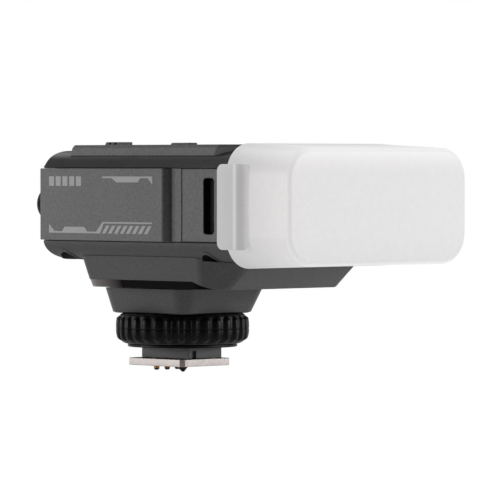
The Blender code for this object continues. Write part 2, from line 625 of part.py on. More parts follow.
def front_lens(mat):
    outline = round_rect(-LENS_HALF_W, LENS_HALF_W, LENS_LOW, LENS_HIGH, 2.1, 4)
    make_object("front_lens", prism(outline, "Y", HEAD_FRONT - 0.3, HEAD_FRONT + 1.8), mat)


def diffuser_cap(mat):
    """Soft milky cap: a thin open-backed box with round edges and a grip bulge on each side."""
    def loop(y, grow, radius):
        return [(x, y, z) for x, z in round_rect(-CAP_HALF_W - grow, CAP_HALF_W + grow, CAP_LOW - grow,
                                                 CAP_HIGH + grow, radius, 6)]

    wall = CAP_WALL
    inner = [loop(CAP_FRONT + wall, -wall, CAP_CORNER - wall), loop(CAP_REAR, -wall, CAP_CORNER - wall)]
    outer = [loop(CAP_REAR, 0.5, CAP_CORNER + 0.3), loop(CAP_REAR - 1.2, 0.35, CAP_CORNER + 0.2),
             loop(CAP_REAR - 5.5, 0.0, CAP_CORNER)]
    rounding = 1.3
    for k in range(4):
        angle = math.radians(30 * k)
        inset = rounding * (1 - math.cos(angle))
        outer.append(loop(CAP_FRONT + rounding - rounding * math.sin(angle), -inset, CAP_CORNER - inset))
    cap = make_object("diffuser_cap", skin(bmesh.new(), inner + outer), mat, smooth=True)
    for side in (-1, 1):
        inside, face, outside = side * (CAP_HALF_W - 1.2), side * (CAP_HALF_W - 0.3), side * CAP_CLIP_OUT
        grip = [(inside, -48.3), (outside - side * 0.5, -48.3), (outside, -48.8), (outside, -55.1),
                (face, -57.9), (inside, -57.9)]
        join(cap, prism(grip, "Z", CAP_CLIP_LOW, CAP_CLIP_HIGH))


def build():
    for obj in list(bpy.data.objects):
        bpy.data.objects.remove(obj)

    side_grey = material("side_grey_plastic", (0.145, 0.145, 0.147), 0.62)
    cover_grey = material("cover_grey_plastic", (0.085, 0.085, 0.087), 0.55)
    gloss_black = material("gloss_black_plastic", (0.012, 0.012, 0.013), 0.25)
    ring_black = material("ring_black_plastic", (0.016, 0.016, 0.017), 0.42)
    block_grey = material("shoe_block_plastic", (0.09, 0.09, 0.092), 0.5)
    bright_metal = material("bright_metal", (0.78, 0.77, 0.75), 0.28, 1.0)
    gold = material("contact_gold", (0.83, 0.55, 0.27), 0.3, 1.0)
    dark_metal = material("dark_metal", (0.10, 0.09, 0.085), 0.35, 1.0)
    milky = material("diffuser_silicone", (0.86, 0.86, 0.86), 0.5)
    clear = material("lens_clear", (0.88, 0.90, 0.92), 0.12)
    screen = material("screen_gloss", (0.01, 0.01, 0.012), 0.08)
    board = material("board_green", (0.02, 0.10, 0.05), 0.45)
    cell = material("cell_wrap_blue", (0.05, 0.08, 0.2), 0.4)
    sleeve = material("capacitor_sleeve", (0.02, 0.02, 0.03), 0.35)

    foot_plate(bright_metal)
    foot_screws(bright_metal)
    shoe_block(block_grey)
    contact("centre_contact", (0, 0), CONTACT_R, CONTACT_DROP, 3.4, gold)
    for i, spot in enumerate(PIN_SPOTS):
        contact(f"data_contact_{i + 1}", spot, PIN_R, PIN_DROP, 3.4, gold)
    lock_pin(dark_metal)
    stem(gloss_black)
    clamp_washer(ring_black)
    lock_ring(ring_black)
    neck_collar(cover_grey)
    saddle_trim(gloss_black)
    saddle_shell(cover_grey)
    lower_cover(cover_grey)
    cover_screws(dark_metal)
    upper_cover(cover_grey)
    for side in (-1, 1):
        side_panel(side, side_grey)
        vent_panel(side, side_grey)
    rear_panel(cover_grey)
    top_deck(side_grey)
    power_switch(cover_grey)
    mode_switch(cover_grey)
    control_dial(ring_black)
    round_key("dial_button", DIAL_X, MID_Z, DIAL_BUTTON_R, BODY_REAR + DIAL_REACH - 1.4,
              BODY_REAR + DIAL_REACH + 0.3, cover_grey)
    rear_keys(ring_black)
    display_window(screen)
    inner_pieces(board, ring_black, bright_metal, sleeve, cell, gold)
    reflector(bright_metal)
    flash_tube(clear)
    head_bezel(ring_black)
    front_lens(clear)
    diffuser_cap(milky)


build()
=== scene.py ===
import bpy
import bmesh
import json
import math
from mathutils import Matrix, Vector

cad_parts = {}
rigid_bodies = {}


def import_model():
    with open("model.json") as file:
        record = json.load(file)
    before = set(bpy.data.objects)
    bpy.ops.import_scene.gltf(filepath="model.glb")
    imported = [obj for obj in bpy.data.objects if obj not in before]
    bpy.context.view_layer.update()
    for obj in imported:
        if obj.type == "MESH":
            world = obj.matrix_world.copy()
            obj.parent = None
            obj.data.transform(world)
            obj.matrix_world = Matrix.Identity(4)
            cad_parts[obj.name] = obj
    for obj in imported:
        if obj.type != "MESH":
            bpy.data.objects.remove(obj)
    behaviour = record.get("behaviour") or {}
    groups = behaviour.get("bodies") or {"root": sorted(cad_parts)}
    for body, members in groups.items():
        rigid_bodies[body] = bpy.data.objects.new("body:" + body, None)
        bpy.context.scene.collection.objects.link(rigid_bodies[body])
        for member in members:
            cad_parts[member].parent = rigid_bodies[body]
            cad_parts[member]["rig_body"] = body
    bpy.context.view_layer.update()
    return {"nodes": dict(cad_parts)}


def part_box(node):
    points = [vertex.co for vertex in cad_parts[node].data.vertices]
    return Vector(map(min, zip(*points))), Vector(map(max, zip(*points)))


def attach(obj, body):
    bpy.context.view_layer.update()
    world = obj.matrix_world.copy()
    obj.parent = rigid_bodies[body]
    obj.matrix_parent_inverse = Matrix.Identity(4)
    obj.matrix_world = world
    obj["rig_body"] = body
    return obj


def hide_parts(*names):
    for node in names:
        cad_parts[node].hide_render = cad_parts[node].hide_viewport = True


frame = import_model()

nodes = frame["nodes"]
mm = 0.001
beyond = 40  # further out than any piece, for cuts that go right through


def span(nodeName):
    # a CAD part's lowest and highest corners, in millimetres
    return [[round(value / mm, 3) for value in corner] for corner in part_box(nodeName)]


class Wire:
    # one output socket, so that shader maths can be written as plain expressions
    def __init__(self, net, socket):
        self.net = net
        self.socket = socket

    def maths(self, operation, first, second):
        return self.net.add("ShaderNodeMath", {"operation": operation}, {0: first, 1: second})

    def __add__(self, other):
        return self.maths("ADD", self, other)

    def __radd__(self, other):
        return self.maths("ADD", other, self)

    def __sub__(self, other):
        return self.maths("SUBTRACT", self, other)

    def __rsub__(self, other):
        return self.maths("SUBTRACT", other, self)

    def __mul__(self, other):
        return self.maths("MULTIPLY", self, other)

    def __rmul__(self, other):
        return self.maths("MULTIPLY", other, self)

    def __truediv__(self, other):
        return self.maths("DIVIDE", self, other)

    def __rtruediv__(self, other):
        return self.maths("DIVIDE", other, self)

    def clamped(self):
        return self.net.add("ShaderNodeClamp", {}, {0: self})

    def asValue(self):
        return self.net.add("ShaderNodeRGBToBW", {}, {0: self})

    def climb(self, start, run):
        # 0 at start and 1 a run further on, in millimetres; a run below zero goes the other way
        return ((self - start * mm) / (run * mm)).clamped()

    def hump(self, centre, half):
        # 1 at the centre, falling to 0 at half a width away, in millimetres
        away = (self - centre * mm) / (half * mm)
        return (1 - away * away).clamped()


class Net:
    # one node tree with its main shader or background
    def __init__(self, tree):
        self.tree = tree

    def add(self, kind, settings, values, output=0):
        node = self.tree.nodes.new(kind)
        for key, value in settings.items():
            if key == "stops":
                ramp = node.color_ramp
                while len(ramp.elements) < len(value):
                    ramp.elements.new(0.5)
                for stop, (place, tone) in zip(ramp.elements, value):
                    stop.position = place
                    stop.color = (tone, tone, tone, 1)
            else:
                setattr(node, key, value)
        for key, value in values.items():
            if isinstance(value, Wire):
                self.tree.links.new(value.socket, node.inputs[key])
            else:
                node.inputs[key].default_value = value
        return Wire(self, node.outputs[output])

    def blend(self, factor, first, second):
        return self.add("ShaderNodeMix", {"data_type": "RGBA"}, {0: factor, 6: first, 7: second}, 2)

    def spot(self):
        return self.add("ShaderNodeTexCoord", {}, {}, "Object")

    def along(self, axis):
        return self.add("ShaderNodeSeparateXYZ", {}, {"Vector": self.spot()}, axis)

    def place(self, scale=(1, 1, 1)):
        return self.add("ShaderNodeMapping", {}, {"Vector": self.spot(), "Scale": scale})

    def noise(self, where, scale, detail=2.0, rough=0.5):
        return self.add("ShaderNodeTexNoise", {}, {"Vector": where, "Scale": scale, "Detail": detail,
                                                   "Roughness": rough})

    def rounded(self, radius):
        return self.add("ShaderNodeBevel", {"samples": 4}, {"Radius": radius * mm})

    def bump(self, height, strength, depth, normal=None):
        values = {"Height": height, "Strength": strength, "Distance": depth * mm}
        if normal:
            values["Normal"] = normal
        return self.add("ShaderNodeBump", {}, values)


def finish(name, fixed, varying):
    # fixed values sit on the shader's own sockets, varying(net) gives what changes over the surface
    material = bpy.data.materials.new(name)
    material.use_nodes = True
    net = Net(material.node_tree)
    shader = material.node_tree.nodes["Principled BSDF"]
    for key, value in fixed.items():
        shader.inputs[key].default_value = value
    for key, wire in varying(net).items():
        material.node_tree.links.new(wire.socket, shader.inputs[key])
    return material


def grey(tone):
    coolness = 1.012
    return (tone, tone, tone * coolness, 1)


def scaled(colour, share, lift=0.0):
    return tuple(min(1, c * share + lift) for c in colour) + (1,)


sparked = {"fine": 2600, "coarse": 1700, "cloud": 45, "fineShare": 0.9, "coarseShare": 1.3,
           "cloudShare": 0.12, "spread": 0.28, "roughSpread": 0.14, "bump": 0.35, "depth": 0.05,
           "edge": 0.12, "shine": 0.42}


def sparkedPlastic(name, tone, rough, grain=1.0):
    # moulded plastic with a fine spark-eroded grain and faint cloudiness
    def varying(net):
        where = net.place()
        fine = net.noise(where, sparked["fine"], 3, 0.6)
        coarse = net.noise(where, sparked["coarse"], 2, 0.5)
        cloud = net.noise(where, sparked["cloud"], 3, 0.55)
        speck = ((fine - 0.5) * sparked["fineShare"] * grain + (coarse - 0.5) * sparked["coarseShare"] * grain
                 + (cloud - 0.5) * sparked["cloudShare"])
        dark, light = grey(tone * (1 - sparked["spread"])), grey(tone * (1 + sparked["spread"]))
        height = fine * 0.6 + coarse * 0.4
        return {"Base Color": net.blend((speck + 0.5).clamped(), dark, light),
                "Roughness": (cloud - 0.5) * sparked["roughSpread"] + rough,
                "Normal": net.bump(height, sparked["bump"] * grain, sparked["depth"],
                                   net.rounded(sparked["edge"]))}
    return finish(name, {"Specular IOR Level": sparked["shine"]}, varying)


satin = {"cloud": 160, "hair": 420, "hairStretch": 14, "hairStart": 0.62, "hairGain": 3, "hairShare": 0.5,
         "rubbed": 2.2, "roughSpread": 0.16, "bump": 0.1, "depth": 0.04, "edge": 0.15,
         "reflectionStart": -3.0, "reflectionRun": 13.0, "reflectionTint": (1, 0.88, 0.89)}


def satinBlack(name, tone, rough, shine, tail=None):
    # smooth moulded black with fine handling scratches; where a tail is given, a painted reflection lightens
    # it to grey at the back end
    def varying(net):
        cloud = net.noise(net.place(), satin["cloud"], 3, 0.6)
        hair = net.noise(net.place((1, 1, satin["hairStretch"])), satin["hair"], 2, 0.6)
        mark = ((hair - satin["hairStart"]).clamped() * satin["hairGain"]).clamped() * satin["hairShare"]
        colour = net.blend(mark, grey(tone), grey(tone * satin["rubbed"]))
        if tail:
            # painted reflection of the bright backdrop along the rear end
            rearEnd = net.along("Y").climb(satin["reflectionStart"], satin["reflectionRun"])
            colour = net.blend(rearEnd, colour, scaled(satin["reflectionTint"], tail))
        return {"Base Color": colour, "Roughness": (cloud - 0.5) * satin["roughSpread"] + rough,
                "Normal": net.bump(cloud, satin["bump"], satin["depth"], net.rounded(satin["edge"]))}
    return finish(name, {"Specular IOR Level": shine}, varying)


stamped = {"streakStretch": 0.06, "pit": 1500, "streakShare": 0.6, "pitShare": 0.7, "dull": 0.72,
           "light": 1.1, "worn": 0.06, "tipRun": 0.3, "bump": 0.3, "depth": 0.04}


def plateMetal(name, colour, rough, streak, tipDepth=None):
    # stamped metal: streaks along the blank and small pits; below a given tip depth under the foot it turns
    # darker
    def varying(net):
        long = net.noise(net.place((1, stamped["streakStretch"], 1)), streak, 3, 0.6)
        pit = net.noise(net.place(), stamped["pit"], 3, 0.65)
        shade = (long - 0.5) * stamped["streakShare"] + (pit - 0.5) * stamped["pitShare"]
        dull, light = scaled(colour, stamped["dull"]), scaled(colour, stamped["light"])
        tone = net.blend((shade + 0.6).clamped(), dull, light)
        if tipDepth:
            tip = net.along("Z").climb(-tipDepth, -stamped["tipRun"])
            tone = net.blend(tip, tone, scaled(colour, stamped["worn"]))
        return {"Base Color": tone,
                "Roughness": ((pit - 0.5) * 0.3 + (long - 0.5) * 0.2 + rough).clamped(),
                "Normal": net.bump(long * 0.5 + pit * 0.5, stamped["bump"], stamped["depth"])}
    return finish(name, {"Metallic": 1.0}, varying)


diffuserPaintedGlow = {"rear": 0.335, "front": 0.49, "topGain": 0.2, "edgeGain": 0.1, "gripLoss": 0.07,
                "ridgeGain": 0.12, "slopeLoss": 0.07, "lowLoss": 0.03, "fleck": 0.03, "dimple": 0.03}
# where each zone of the painted glow starts and how far it takes to come in, in millimetres; ridge and slope
# are humps
diffuserZones = {"front": (-52.0, -19.0), "edge": (span("diffuser_cap")[0][1], 1.3), "grip": (33.4, 0.6),
                 "top": (51.0, 8.0), "low": (36.0, -8.0), "ridge": (-54.6, 0.6742), "slope": (-56.6, 1.8257),
                 "slopeSide": (33.0, 0.5), "blushSide": (31.8, 0.8)}
diffuserSkin = {"cloud": 60, "skin": 2400, "fleck": 900, "dimple": 780, "dark": (0.42, 0.415, 0.415, 1),
                "light": (0.47, 0.465, 0.465, 1), "plain": (1, 0.985, 0.985, 1),
                "blush": (1, 0.955, 0.965, 1), "rough": 0.45, "roughSpread": 0.1, "bump": 0.12,
                "depth": 0.03, "shine": 0.3}


def milkySilicone(name):
    # soft translucent moulding with painted light: an emission glow stands in for light shining through it,
    # brighter towards the open front, the top and its thin front edge, with painted shade over the dark head,
    # in the thick grips, on the grip slopes and low down
    def varying(net):
        glow, zones, skin = diffuserPaintedGlow, diffuserZones, diffuserSkin
        where = net.place()
        cloud = net.noise(where, skin["cloud"], 3, 0.5)
        fine = net.noise(where, skin["skin"], 2, 0.5)
        fleck = net.noise(where, skin["fleck"], 2, 0.5)
        dimples = net.add("ShaderNodeTexVoronoi", {}, {"Vector": where, "Scale": skin["dimple"]}, "Distance")
        along, high = net.along("Y"), net.along("Z")
        width = net.add("ShaderNodeMath", {"operation": "ABSOLUTE"}, {0: net.along("X")})
        forward = along.climb(*zones["front"])
        back = along.climb(*zones["edge"])
        edge = back * (1 - back) * 4
        grip = width.climb(*zones["grip"])
        upper = high.climb(*zones["top"])
        under = high.climb(*zones["low"])
        ridge = along.hump(*zones["ridge"]) * grip
        slope = along.hump(*zones["slope"]) * width.climb(*zones["slopeSide"])
        # painted light and shade of the glow, standing in for light passing through the silicone
        light = (forward * (glow["front"] - glow["rear"]) + glow["rear"] + upper * upper * glow["topGain"]
                 + edge * glow["edgeGain"] + ridge * glow["ridgeGain"] - slope * glow["slopeLoss"]
                 - grip * glow["gripLoss"] - under * glow["lowLoss"] + (fleck - 0.5) * glow["fleck"]
                 + (dimples - 0.4) * forward * glow["dimple"])
        # a faint pink tint of the painted glow on the sides towards the front
        blush = width.climb(*zones["blushSide"]) * forward * (1 - edge) * (1 - upper) * (1 - under)
        tint = net.blend(blush, skin["plain"], skin["blush"])
        return {"Base Color": net.blend(cloud, skin["dark"], skin["light"]),
                "Emission Color": net.blend(light.clamped(), (0, 0, 0, 1), tint),
                "Roughness": (cloud - 0.5) * skin["roughSpread"] + skin["rough"],
                "Normal": net.bump(fine, skin["bump"], skin["depth"])}
    return finish(name, {"Emission Strength": 1.0, "Specular IOR Level": diffuserSkin["shine"]}, varying)


def wipedGloss(name, colour, rough):
    # polished window or wrap with faint wipe marks
    def varying(net):
        smear = net.noise(net.place((1, 1, 4)), 120, 4, 0.6)
        return {"Base Color": net.blend(smear, scaled(colour, 0.85), scaled(colour, 1.15, 0.002)),
                "Roughness": (smear - 0.5) * 0.1 + rough}
    return finish(name, {"Coat Weight": 0.4, "Coat Roughness": 0.08}, varying)


def clearMoulding(name):
    # clear plastic with a slight haze
    def varying(net):
        haze = net.noise(net.place(), 300, 2, 0.5)
        return {"Base Color": net.blend(haze, (0.86, 0.88, 0.9, 1), (0.95, 0.96, 0.98, 1)),
                "Roughness": (haze - 0.5) * 0.06 + 0.12}
    return finish(name, {"Transmission Weight": 0.85, "IOR": 1.49}, varying)


def circuitBoard(name):
    # green lacquer over square copper tracks
    def varying(net):
        track = net.add("ShaderNodeTexVoronoi", {"distance": "MANHATTAN"},
                        {"Vector": net.place(), "Scale": 420}, "Distance")
        line = ((track - 0.42) * 9).clamped()
        return {"Base Color": net.blend(line, (0.015, 0.09, 0.045, 1), (0.05, 0.2, 0.1, 1)),
                "Roughness": line * 0.15 + 0.38, "Normal": net.bump(line, 0.4, 0.03)}
    return finish(name, {"Specular IOR Level": 0.5}, varying)


def printInk(name, tone):
    # pad-printed ink, slightly uneven
    def varying(net):
        patch = net.noise(net.place(), 2400, 2, 0.6)
        return {"Base Color": net.blend((patch * 1.6 - 0.3).clamped(), grey(tone * 0.85), grey(tone * 1.05)),
                "Normal": net.bump(patch, 0.2, 0.03)}
    return finish(name, {"Roughness": 0.55}, varying)


sidePlastic = sparkedPlastic("sidePlastic", 0.178, 0.6)
coverPlastic = sparkedPlastic("coverPlastic", 0.078, 0.48)
lowerPlastic = sparkedPlastic("lowerPlastic", 0.067, 0.5)
saddlePlastic = sparkedPlastic("saddlePlastic", 0.082, 0.5)
# darker copy of the cover plastic: painted shade for the dim shoulders of the upper cover
upperPlastic = sparkedPlastic("upperPlastic", 0.056, 0.44)
# darker copy for the shoe block: painted shade from the lock ring above it
blockPlastic = sparkedPlastic("blockPlastic", 0.056, 0.5, 0.5)
ringPlastic = satinBlack("ringPlastic", 0.004, 0.38, 0.16)
glossTrim = satinBlack("glossTrim", 0.003, 0.2, 0.05)
# the trim band's rear end carries a painted reflection
bandGloss = satinBlack("bandGloss", 0.003, 0.2, 0.05, 0.3)
# near black, standing in for the shade inside the vent slots
slotLining = satinBlack("slotLining", 0.003, 0.5, 0.08)
darkFitting = satinBlack("darkFitting", 0.02, 0.45, 0.4)
brightPlate = plateMetal("brightPlate", (0.43, 0.395, 0.38), 0.5, 700)
goldPlate = plateMetal("goldPlate", (0.45, 0.25, 0.11), 0.3, 900, 0.6)
# dark steel; on the cover screws it also serves as painted shade in the wells
darkSteel = plateMetal("darkSteel", (0.02, 0.018, 0.018), 0.5, 900)
mirrorFoil = plateMetal("mirrorFoil", (0.85, 0.85, 0.85), 0.14, 260)
milky = milkySilicone("milkySilicone")
lensPlastic = clearMoulding("lensPlastic")
screenGloss = wipedGloss("screenGloss", (0.008, 0.008, 0.01), 0.07)
cellWrap = wipedGloss("cellWrap", (0.05, 0.08, 0.2), 0.3)
sleeveWrap = wipedGloss("sleeveWrap", (0.015, 0.015, 0.025), 0.25)
boardLacquer = circuitBoard("boardLacquer")
lightInk = printInk("lightInk", 0.5)
print("finishes made")


def closedSkin(loops, looped=False):
    # loops of points joined by walls; looped joins the last loop to the first, else both ends are capped
    bm = bmesh.new()
    rings = [[bm.verts.new(p) for p in loop] for loop in loops]
    count = len(rings[0])
    pairs = list(zip(rings, rings[1:]))
    if looped:
        pairs.append((rings[-1], rings[0]))
    for low, high in pairs:
        for i in range(count):
            j = (i + 1) % count
            bm.faces.new((low[i], low[j], high[j], high[i]))
    if not looped:
        bm.faces.new(rings[0][::-1])
        bm.faces.new(rings[-1])
    bmesh.ops.recalc_face_normals(bm, faces=bm.faces)
    return bm


def extruded(outline, axis, low, high):
    # an outline in y and z pushed along X, or one in x and y pushed along Z
    if axis == "X":
        return closedSkin([[(h, a, b) for a, b in outline] for h in (low, high)])
    return closedSkin([[(a, b, h) for a, b in outline] for h in (low, high)])


def roundRect(a0, a1, b0, b1, radius, steps=6):
    points = []
    for ca, cb, start in ((a1 - radius, b0 + radius, -90), (a1 - radius, b1 - radius, 0),
                          (a0 + radius, b1 - radius, 90), (a0 + radius, b0 + radius, 180)):
        for k in range(steps + 1):
            angle = math.radians(start + 90 * k / steps)
            points.append((ca + radius * math.cos(angle), cb + radius * math.sin(angle)))
    return points


def turned(profile, centre, sides):
    # radius and height pairs turned round an upright axis
    loops = []
    for radius, height in profile:
        loops.append([(centre[0] + radius * math.cos(2 * math.pi * i / sides),
                       centre[1] + radius * math.sin(2 * math.pi * i / sides), height) for i in range(sides)])
    return closedSkin(loops)


def leans(edge):
    # true for an edge that climbs, false for one that lies level
    return abs(edge.verts[0].co.z - edge.verts[1].co.z) > 0.5


def soften(bm, width, segments=3, sharper=28, only=None):
    # round every edge that turns more than the given angle
    edges = [e for e in bm.edges if len(e.link_faces) == 2 and math.degrees(e.calc_face_angle(0)) > sharper]
    if only:
        edges = [e for e in edges if only(e)]
    bmesh.ops.bevel(bm, geom=edges, offset=width, segments=segments, profile=0.5, affect="EDGES")


def makePiece(name, bm, material, angle=32):
    bmesh.ops.transform(bm, matrix=Matrix.Scale(mm, 4), verts=bm.verts)
    mesh = bpy.data.meshes.new(name)
    bm.to_mesh(mesh)
    bm.free()
    mesh.shade_smooth()
    mesh.set_sharp_from_angle(angle=math.radians(angle))
    piece = bpy.data.objects.new(name, mesh)
    if material:
        mesh.materials.append(material)
    bpy.context.scene.collection.objects.link(piece)
    return piece


def applyAll(piece):
    bpy.context.view_layer.update()
    seen = piece.evaluated_get(bpy.context.evaluated_depsgraph_get())
    mesh = bpy.data.meshes.new_from_object(seen)
    piece.modifiers.clear()
    piece.data = mesh


def carveWith(piece, tool, operation="DIFFERENCE", angle=32):
    # one Boolean step, applied at once
    step = piece.modifiers.new("step", "BOOLEAN")
    step.operation = operation
    step.solver = "EXACT"
    step.object = tool
    applyAll(piece)
    bpy.data.objects.remove(tool)
    piece.data.shade_smooth()
    piece.data.set_sharp_from_angle(angle=math.radians(angle))


def carve(piece, bm, operation="DIFFERENCE", angle=32):
    carveWith(piece, makePiece(piece.name + "Tool", bm, piece.data.materials[0]), operation, angle)


def steadyNormals(piece):
    step = piece.modifiers.new("normals", "WEIGHTED_NORMAL")
    step.keep_sharp = True
    step.weight = 80
    return piece


def settle(piece, bodyName, slotName, *replaced):
    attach(piece, bodyName)
    if replaced:
        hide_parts(*replaced)


softening = {"join": 0.002, "flat": 1.0, "sharper": 28}


def softCopy(nodeName, width, material, slotName, segments=3):
    # the CAD part's own shape with its edges rounded
    bm = bmesh.new()
    bm.from_mesh(nodes[nodeName].data)
    bmesh.ops.transform(bm, matrix=Matrix.Scale(1 / mm, 4), verts=bm.verts)
    bmesh.ops.remove_doubles(bm, verts=bm.verts, dist=softening["join"])
    bmesh.ops.dissolve_limit(bm, angle_limit=math.radians(softening["flat"]), verts=bm.verts, edges=bm.edges)
    bmesh.ops.recalc_face_normals(bm, faces=bm.faces)
    soften(bm, width, segments, softening["sharper"])
    words = nodeName.split("_")
    pieceName = words[0] + "".join(w.capitalize() for w in words[1:]) + "Soft"
    piece = steadyNormals(makePiece(pieceName, bm, material))
    settle(piece, nodes[nodeName]["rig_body"], slotName, nodeName)


stageLook = {"drop": 1.7, "half": 700, "thick": 4, "paper": (0.8, 0.8, 0.8, 1), "farGlow": 0.5,
             "nearGlow": 0.14, "fadeStart": -120, "fadeRun": 160, "away": (0.707, 0.707, 0),
             "backGlow": 0.9, "dimRoom": 0.02,
             "heightStops": [(0.0, 0.0), (0.46, 0.6), (0.52, 1.0), (0.64, 0.5), (0.8, 0.0)],
             "behindStops": [(0.0, 0.0), (0.62, 0.0), (0.86, 1.0), (1.0, 1.0)]}


def makeStage():
    # floor and room are plain white to the camera, and their own light comes mostly from behind the object
    look = stageLook
    half, white = look["half"], (1, 1, 1, 1)
    square = [(-half, -half), (half, -half), (half, half), (-half, half)]
    floor = makePiece("floor", extruded(square, "Z", -look["drop"] - look["thick"], -look["drop"]), None)
    paper = bpy.data.materials.new("paleFloor")
    paper.use_nodes = True
    net = Net(paper.node_tree)
    seen = net.add("ShaderNodeLightPath", {}, {}, "Is Camera Ray")
    matt = net.add("ShaderNodeBsdfDiffuse", {}, {"Color": look["paper"]}, "BSDF")
    away = net.add("ShaderNodeVectorMath", {"operation": "DOT_PRODUCT"}, {0: net.spot(), 1: look["away"]},
                   "Value")
    far = net.add("ShaderNodeEmission", {}, {"Strength": look["farGlow"]}, "Emission")
    near = net.add("ShaderNodeEmission", {}, {"Strength": look["nearGlow"]}, "Emission")
    fade = away.climb(look["fadeStart"], look["fadeRun"])
    fading = net.add("ShaderNodeMixShader", {}, {0: fade, 1: near, 2: far}, "Shader")
    bright = net.add("ShaderNodeEmission", {}, {}, "Emission")
    lit = net.add("ShaderNodeAddShader", {}, {0: matt, 1: fading}, "Shader")
    both = net.add("ShaderNodeMixShader", {}, {0: seen, 1: lit, 2: bright}, "Shader")
    paper.node_tree.links.new(both.socket, paper.node_tree.nodes["Material Output"].inputs["Surface"])
    floor.data.materials.append(paper)

    world = bpy.data.worlds.new("softRoom")
    bpy.context.scene.world = world
    world.use_nodes = True
    net = Net(world.node_tree)
    aim = net.add("ShaderNodeTexCoord", {}, {}, "Generated")
    height = net.add("ShaderNodeSeparateXYZ", {}, {"Vector": aim}, "Z")
    away = net.add("ShaderNodeVectorMath", {"operation": "DOT_PRODUCT"}, {0: aim, 1: look["away"]}, "Value")
    level = net.add("ShaderNodeValToRGB", {"stops": look["heightStops"]}, {0: height * 0.5 + 0.5})
    behind = net.add("ShaderNodeValToRGB", {"stops": look["behindStops"]}, {0: away * 0.5 + 0.5})
    seen = net.add("ShaderNodeLightPath", {}, {}, "Is Camera Ray")
    dim = net.add("ShaderNodeBackground", {}, {"Color": white, "Strength": look["dimRoom"]}, "Background")
    glow = net.add("ShaderNodeBackground", {}, {"Color": white, "Strength": look["backGlow"]}, "Background")
    plain = world.node_tree.nodes["Background"]
    plain.inputs["Color"].default_value = white
    share = level.asValue() * behind.asValue()
    room = net.add("ShaderNodeMixShader", {}, {0: share, 1: dim, 2: glow}, "Shader")
    both = net.add("ShaderNodeMixShader", {}, {0: seen, 1: room}, "Shader")
    links = world.node_tree.links
    links.new(plain.outputs["Background"], both.socket.node.inputs[2])
    links.new(both.socket, world.node_tree.nodes["World Output"].inputs["Surface"])


def pointAt(holder, spot, aim):
    holder.location = spot
    holder.rotation_euler = (Vector(aim) - Vector(spot)).to_track_quat("-Z", "Y").to_euler()
    bpy.context.scene.collection.objects.link(holder)


# places in metres, power in watts
softboxes = {
    "leftBox": {"spot": (-0.85, 0.70, 0.15), "aim": (0, 0, 0.03), "size": (0.7, 0.28), "power": 4.7},
    "topBox": {"spot": (0.10, 0.78, 0.74), "aim": (0, 0, 0.05), "size": (0.6, 0.3), "power": 1.8},
    "rightBox": {"spot": (0.68, -0.85, 0.15), "aim": (0, -0.03, 0.03), "size": (0.7, 0.28), "power": 4.6}}


def makeSoftbox(name, box):
    lamp = bpy.data.lights.new(name, "AREA")
    lamp.shape = "RECTANGLE"
    lamp.size, lamp.size_y = box["size"]
    lamp.energy = box["power"]
    pointAt(bpy.data.objects.new(name, lamp), box["spot"], box["aim"])


camera = {"spot": (-0.8002, -0.8262, 0.0538), "aim": (0.0130, -0.0130, 0.0311), "lens": 305.7, "sensor": 36,
          "nearest": 0.05}


def makeCamera():
    lens = bpy.data.cameras.new("viewer")
    lens.lens = camera["lens"]
    lens.sensor_width = camera["sensor"]
    lens.clip_start = camera["nearest"]
    holder = bpy.data.objects.new("viewer", lens)
    pointAt(holder, camera["spot"], camera["aim"])
    bpy.context.scene.camera = holder


makeStage()
makeCamera()
for boxName, box in softboxes.items():
    makeSoftbox(boxName, box)
bpy.context.scene.view_settings.view_transform = "Standard"
print("stage, lights and camera set")


lowerLow, lowerHigh = span("lower_cover")
upperLow, upperHigh = span("upper_cover")
body = {"halfWidth": lowerHigh[0] + 0.25, "rear": lowerHigh[1] + 0.35, "front": lowerLow[1],
        "bandLow": lowerHigh[2], "bandHigh": upperLow[2], "high": upperHigh[2] + 0.1,
        "lowerRound": lowerHigh[2] - lowerLow[2], "lean": 21, "leanRise": 1.7, "corner": 0.35, "steps": 10,
        "edge": 0.3, "lip": 26.9, "lipRise": 0.7, "lipBack": 2, "lipWall": 1.0, "lowerFloor": 33.1,
        "upperCeiling": 55.8}


def casingLoop(inset, z, front=None):
    side, rear, corner, points = body["halfWidth"] - inset, body["rear"] - inset, body["corner"], []
    for sign, start in ((1, 0), (-1, 90)):
        for k in range(5):
            angle = math.radians(start + 22.5 * k)
            points.append((sign * (side - corner) + corner * math.cos(angle),
                           rear - corner + corner * math.sin(angle), z))
    front = body["front"] if front is None else front
    return points + [(-side, front, z), (side, front, z)]


def underLevels(grow=0.0):
    # inset and height of the rounded underside, bottom first
    radius = body["lowerRound"]
    levels = []
    for k in range(body["steps"] + 1):
        angle = math.radians(90 - 90 * k / body["steps"])
        levels.append((radius * (1 - math.cos(angle)) - grow * math.cos(angle),
                       body["bandLow"] - (radius + grow) * math.sin(angle)))
    return levels


def upperLevels(grow=0.0):
    # the shoulder first leans in as a flat band, then turns over to the top
    lean, rise = math.radians(body["lean"]), body["leanRise"]
    radius = (body["high"] - body["bandHigh"] - rise) / (1 - math.sin(lean))
    levels = [(-grow, body["bandHigh"])]
    for k in range(body["steps"] + 1):
        angle = lean + (math.pi / 2 - lean) * k / body["steps"]
        inset = rise * math.tan(lean) + radius * (math.cos(lean) - math.cos(angle)) - grow * math.cos(angle)
        climbed = radius * (math.sin(angle) - math.sin(lean)) + grow * math.sin(angle)
        levels.append((inset, body["bandHigh"] + rise + climbed))
    return levels


def casingShape(grow):
    # the whole casing as one solid, longer at the front, to cut other pieces with
    levels = underLevels(grow) + upperLevels(grow)
    return closedSkin([casingLoop(inset, z, body["front"] - 5) for inset, z in levels])


